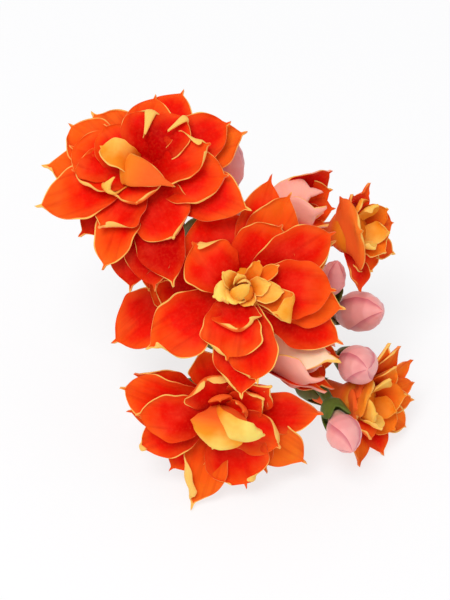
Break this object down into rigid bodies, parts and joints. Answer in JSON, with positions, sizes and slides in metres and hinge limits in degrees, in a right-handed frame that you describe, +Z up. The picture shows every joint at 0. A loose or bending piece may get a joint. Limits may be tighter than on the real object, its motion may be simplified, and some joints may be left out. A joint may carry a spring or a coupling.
{
  "type": "double kalanchoe flower head",
  "caption": "Cut flower head lying on its side: layered orange-red flowers with yellow petal margins and pink buds, on a branching green stalk.",
  "frame": {"origin": "middle of the head's footprint, on the surface that it lies on", "axes": "+Z up; the flowers face forward along -Y and up, tipped back 45 degrees; the cut stalk points back along +Y"},
  "size_m": [0.0391, 0.0502, 0.0357],
  "materials": {
    "petal": "soft satin petal, orange-red with a yellow margin",
    "bud": "soft matte, pink",
    "stalk": "waxy green"
  },
  "bodies": {
    "root": {"bloom_top_left": "petal", "bloom_middle": "petal", "bloom_lower": "petal", "bloom_upper_right": "petal", "bloom_lower_right": "petal", "bloom_opening_top": "petal", "bloom_opening_low": "petal", "bloom_left": "petal", "bud_top": "bud", "bud_right_1": "bud", "bud_right_2": "bud", "bud_right_3": "bud", "bud_low": "bud", "bud_under": "bud", "stalk": "stalk"}
  },
  "joints": []
}
